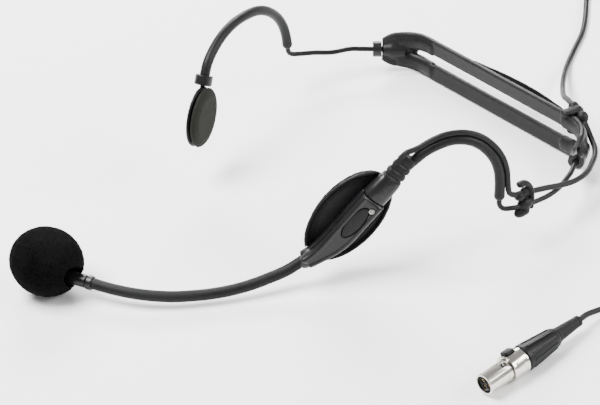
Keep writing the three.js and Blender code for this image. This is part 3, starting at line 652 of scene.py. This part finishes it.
def add_boom():
    """Two lengths of sheath that meet in the middle stretch, each running past one joint."""
    root = [POD @ Vector(point) for point in BOOM_ROOT]
    line = spline(worn([*root, *BOOM_FREE]), 0.0006)
    near, far = joint_place("boom_raise"), joint_place("boom_swing")

    def nearest(place):
        return min(range(len(line)), key=lambda i: (line[i] - place).length)

    middle = (nearest(near) + nearest(far)) // 2
    parts = [
        (
            "boom_sheath_rear", line[: middle + 1], near, "left_side", "boom_middle",
            ["boom_rear", "boom_middle"],
        ),
        ("boom_sheath_front", line[middle:], far, "boom_middle", "boom_tip", ["boom_front"]),
    ]
    for name, part, place, before, after, nodes in parts:
        at = nearest(place)
        along = (line[at + 1] - line[at - 1]).normalized() * 6 * MM
        mesh = tube_mesh(name, part, 2.15 * MM, 26)
        new_piece(name, mesh, (before, after, place - along, place + along), "boom_rubber", nodes)


# ---------------------------------------------------------------- band, pads, pod and clips
def add_band():
    """The two straps with their hubs, a web between them at each hub, and a swelling round each bore."""
    bm = copied(["neck_band"])
    for side in (-1, 1):
        into = (hub(side, 1) - hub(side, 0)).normalized()
        up = (BAND.to_3x3() @ Vector((0, 0, 1))).normalized()
        across = up.cross(into).normalized()
        turn = WORN.to_3x3() @ Matrix((into, across, up)).transposed()
        turn.normalize()
        for along, size in HUB_SWELLINGS:
            ball(bm, WORN @ (hub(side, along) * MM), Vector(size) * MM, turn)
        for step in range(26):
            distance = 11 + 0.65 * step
            x, y = band_line(distance)
            spread = 3.0 + 1.9 * min(1, (distance - 6) / 18)
            for height in (-spread, spread):
                ball(bm, WORN @ (on_band(x, side * y, height) * MM), Vector((2.1, 2.1, 3.5)) * MM, turn)
    mesh = sculpt("neck_band_moulded", bm, 0.36, 9)
    round_mouths(mesh)
    new_piece("neck_band_moulded", mesh, "band", "band_plastic", ["neck_band"])
    leaf = [on_band(*place) for place in LEAF]
    bm = bmesh.new()
    for place in spline(leaf, 0.5):
        ball(bm, WORN @ (place * MM), Vector(LEAF_SIZE) * MM, WORN.to_3x3() @ BAND.to_3x3())
    mesh = sculpt("band_liner", bm, 0.25, 5)
    new_piece("band_liner", mesh, "band", "soft_rubber", ["band_spring"])


def band_line(distance):
    """The band's middle line in its own plane, at a distance from a hub's mouth."""
    bend, corner = math.atan2(0.8, 0.6), 14
    straight = min(distance, 10)
    x, y = -13.6 + 0.8 * straight, 61.5 - 0.6 * straight
    if distance <= 10:
        return x, y
    cx, cy = x - corner * math.cos(bend), y - corner * math.sin(bend)
    angle = max(0.0, bend - (distance - 10) / corner)
    run = max(0.0, distance - 10 - bend * corner)
    return cx + corner * math.cos(angle), cy + corner * math.sin(angle) - run


def round_mouths(mesh):
    """Draws the straps in towards each hub's bore over their last few millimetres."""
    for side in (-1, 1):
        mouth = WORN @ (hub(side, 3.8) * MM)
        into = (WORN @ (hub(side, 4.8) * MM) - mouth).normalized()
        for vertex in mesh.vertices:
            offset = vertex.co - mouth
            along = offset.dot(into) / MM
            across = offset - into * offset.dot(into)
            if across.length < 13 * MM and -2 < along < 5:
                t = max(0.0, min(1.0, along / 5))
                drawn_in = 0.72 + 0.28 * math.sin(t * math.pi / 2)
                vertex.co = mouth + into * offset.dot(into) + across * drawn_in


def add_soft(node, voxel, rounds, ripple=0.0, extra=()):
    bm = copied([node])
    for centre, size, turn in extra:
        ball(bm, centre, size, turn)
    mesh = sculpt(node + "_soft", bm, voxel, rounds, ripple)
    piece = new_piece(node + "_soft", mesh, BODY_OF[node], SLOT_OF[node], [node])


def add_pads_and_pod():
    for node in ("left_pad_cushion", "right_pad_cushion"):
        add_soft(node, 0.4, 6, ripple=0.05)
    add_soft("left_pad_dish", 0.24, 3)
    add_soft("right_pad_shell", 0.24, 4)
    add_pod_shells()
    add_pod_neck()
    add_windscreen()


def in_pod(x, y, z):
    return WORN @ (POD @ Vector((x, y, z)) * MM)


def pod_middle(x):
    return 0.011 * (x + 6) ** 2 if x < -6 else 0.0


def pod_half_width(x):
    t = max(0.0, min(1.0, (-x - 6) / 19))
    return 4.7 - 1.9 * t * t * (3 - 2 * t)


def add_pod_shells():
    """Two shells: the cover has a rounded ridge along each edge, and both close softly round the boom."""
    turn = WORN.to_3x3() @ POD.to_3x3()
    for node, height, end in (("pod_cover", 3.0, 1.2), ("pod_base", -2.3, -1.0)):
        bm = copied([node])
        if node == "pod_cover":
            for i in range(61):
                x = 9.6 - 0.55 * i
                for side in (-1, 1):
                    y = pod_middle(x) + side * (pod_half_width(x) - 1.35)
                    ball(bm, in_pod(x, y, height), Vector((1.2, 1.25, 1.35)) * MM, turn)
        ball(bm, in_pod(-23, 3.3, end), Vector((4.2, 2.7, 1.9)) * MM, turn)
        mesh = sculpt(node + "_soft", bm, 0.2, 7)
        new_piece(node + "_soft", mesh, BODY_OF[node], SLOT_OF[node], [node])


def loft(name, stations, exponent=2.5, sides=40):
    """A closed skin through rounded sections: each is x, middle y, middle z, half width, half height."""
    bm = bmesh.new()
    rings = []
    for x, y, z, wide, high in stations:
        ring = []
        for k in range(sides):
            a = 2 * math.pi * k / sides
            c, s = math.cos(a), math.sin(a)
            dy = math.copysign(abs(c) ** (2 / exponent), c) * wide
            dz = math.copysign(abs(s) ** (2 / exponent), s) * high
            ring.append(bm.verts.new(in_pod(x, y + dy, z + dz)))
        rings.append(ring)
    for a, b in zip(rings, rings[1:]):
        for k in range(sides):
            bm.faces.new((a[k], a[(k + 1) % sides], b[(k + 1) % sides], b[k]))
    bm.faces.new(reversed(rings[0]))
    bm.faces.new(rings[-1])
    mesh = bpy.data.meshes.new(name)
    bm.to_mesh(mesh)
    bm.free()
    smooth(mesh, 45)
    return mesh


def add_pod_neck():
    """The neck tapers from the shells to a ribbed relief that holds both the sleeve and the cable."""
    neck = [
        (11.15, 0, 0.2, 4.2, 3.2), (11.4, 0, 0.2, 4.6, 3.7), (13.5, 0, 0.2, 4.65, 3.8),
        (16, -0.15, 0.1, 4.5, 3.6),
        (18.5, -0.3, 0, 4.35, 3.2), (20.6, -0.4, -0.1, 4.15, 2.9), (21, -0.4, -0.1, 3.8, 2.6),
    ]
    new_piece("pod_neck_tapered", loft("pod_neck_tapered", neck), "left_side", "gloss_plastic", ["pod_neck"])
    stations = []
    for i in range(61):
        x = 21.05 + 10.4 * i / 60
        share = i / 60
        in_groove = 0.5 - 0.5 * math.cos(2 * math.pi * min(3.0, 3.6 * share + 0.1))
        depth = 0.55 * in_groove ** 3 if share < 0.83 else 0.3 * (share - 0.83) / 0.17
        wide, high = 4.1 - 0.75 * share - depth, 2.75 - 0.55 * share - depth
        stations.append((x, -0.35 - 0.1 * share, -0.15 - 0.85 * share, wide, high))
    relief = loft("ribbed_relief", stations)
    new_piece("ribbed_relief", relief, "left_side", "soft_rubber", ["strain_relief"])


def add_windscreen():
    """Open-cell foam with a deep recess where the capsule tube goes in."""
    mesh = sculpt("windscreen_foam", copied(["windscreen"]), 0.34, 4)
    low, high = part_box("windscreen")
    centre = (Vector(low) + Vector(high)) / 2
    entry = WORN @ (Vector(BOOM_FREE[-1]) * MM) + (WORN.to_3x3() @ CAPSULE_AIM) * 8.2 * MM
    outwards = Vector((-0.28, -0.80, 0.53)).normalized()
    for vertex in mesh.vertices:
        offset = vertex.co - entry
        off_axis = (offset - outwards * offset.dot(outwards)).length
        facing = (vertex.co - centre).dot(outwards)
        if off_axis < RECESS and facing > -4 * MM and offset.dot(outwards) > -RECESS_DEPTH:
            share = off_axis / RECESS
            edge = 1 - max(0.0, (share - 0.78) / 0.22) ** 2
            floor = entry - outwards * RECESS_DEPTH
            sink = (vertex.co - floor).dot(outwards)
            vertex.co -= outwards * sink * edge
    mesh.update()
    roughen(mesh, 0.22)
    mesh.shade_smooth()
    piece = new_piece("windscreen_foam", mesh, "windscreen", "foam", ["windscreen"])


def add_clips():
    """Small moulded clips: a hooked one on the left wire, and one that wraps over the upper strap."""
    def at(x, y, z):
        return WORN @ ((LEFT_CLIP_AT + Vector((x, y, z))) * MM)

    bm = bmesh.new()
    hook = [at(*place) for place in LEFT_CLIP_HOOK]
    for place in spline(hook, 0.4 * MM):
        ball(bm, place, Vector((1.1, 1.7, 1.1)) * MM)
    for centre, size in LEFT_CLIP_LUMPS:
        ball(bm, at(*centre), Vector(size) * MM)
    mesh = sculpt("left_clip_moulded", bm, 0.2, 4, ripple=0.06)
    new_piece("left_clip_moulded", mesh, "left_side", "soft_rubber", ["left_clip"])

    bm = bmesh.new()
    for centre, size in REAR_CLIP:
        ball(bm, WORN @ (on_band(*centre) * MM), Vector(size) * MM, WORN.to_3x3() @ BAND.to_3x3())
    mesh = sculpt("rear_clip_moulded", bm, 0.2, 5)
    new_piece("rear_clip_moulded", mesh, "band", "soft_rubber", ["rear_clip"])


def add_connector_details():
    for node in ("plug_barrel", "plug_collar", "plug_grip", "latch_button", "plug_insert"):
        refine(node, 0.1)
    line = [(PLUG @ Vector((x / 4, 0, 0))) * MM for x in range(143, 192)]

    def boot_radius(along):
        """A cone with a small step behind its shoulder and a lip at its end."""
        step_down = 0.12 * (along > 1.2 * MM)
        lip = 0.1 * (along > 10.8 * MM)
        return (2.95 - 0.075 * along / MM - step_down + lip) * MM

    mesh = tube_mesh("plug_boot_tapered", line, boot_radius, 28)
    new_piece("plug_boot_tapered", mesh, "band", "boot_rubber", ["plug_boot"])
    for i in range(GRIP_RIBS):
        angle = 2 * math.pi * i / GRIP_RIBS
        ridge = [PLUG @ Vector((x, r * math.sin(angle), r * math.cos(angle))) * MM
                 for x, r in ((21, 4.98), (25, 4.62), (30, 4.14), (33.4, 3.86))]
        mesh = tube_mesh(f"grip_rib_{i + 1}", spline(ridge, 0.5 * MM), 0.32 * MM, 10)
        new_piece(f"grip_rib_{i + 1}", mesh, "band", "plug_plastic")


HANDLED = {
    "neck_band", "left_wire", "right_wire", "left_sleeve", "right_sleeve", "cable_over_ear", "cable_to_band",
    "cable_on_band", "boom_rear", "boom_middle", "boom_front", "left_pad_cushion", "right_pad_cushion",
    "left_pad_dish", "right_pad_shell", "pod_base", "pod_cover", "pod_neck", "strain_relief", "windscreen",
    "left_clip", "rear_clip", "plug_barrel", "plug_collar", "plug_grip", "plug_boot", "latch_button",
    "plug_insert", "band_spring", "cord_out", "cord_back", "cord_coil",
}


def dress_other_nodes():
    """Every other CAD node keeps its shape, with small rounded edges."""
    made = {node: refine(node, 0.06) for node in frame["nodes"] if node not in HANDLED}
    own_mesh(made["latch_spring"])


# ---------------------------------------------------------------- the scene
add_camera()
cord, cord_exit, cord_length = add_cord()
add_studio()
add_wires_and_sleeves()
add_cable()
add_boom()
add_band()
add_pads_and_pod()
add_clips()
add_connector_details()
dress_other_nodes()
on_cord = [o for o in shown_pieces() if o.name.startswith(("plug_", "detent", "latch", "coil_tie"))]
on_cord = on_cord[:24]
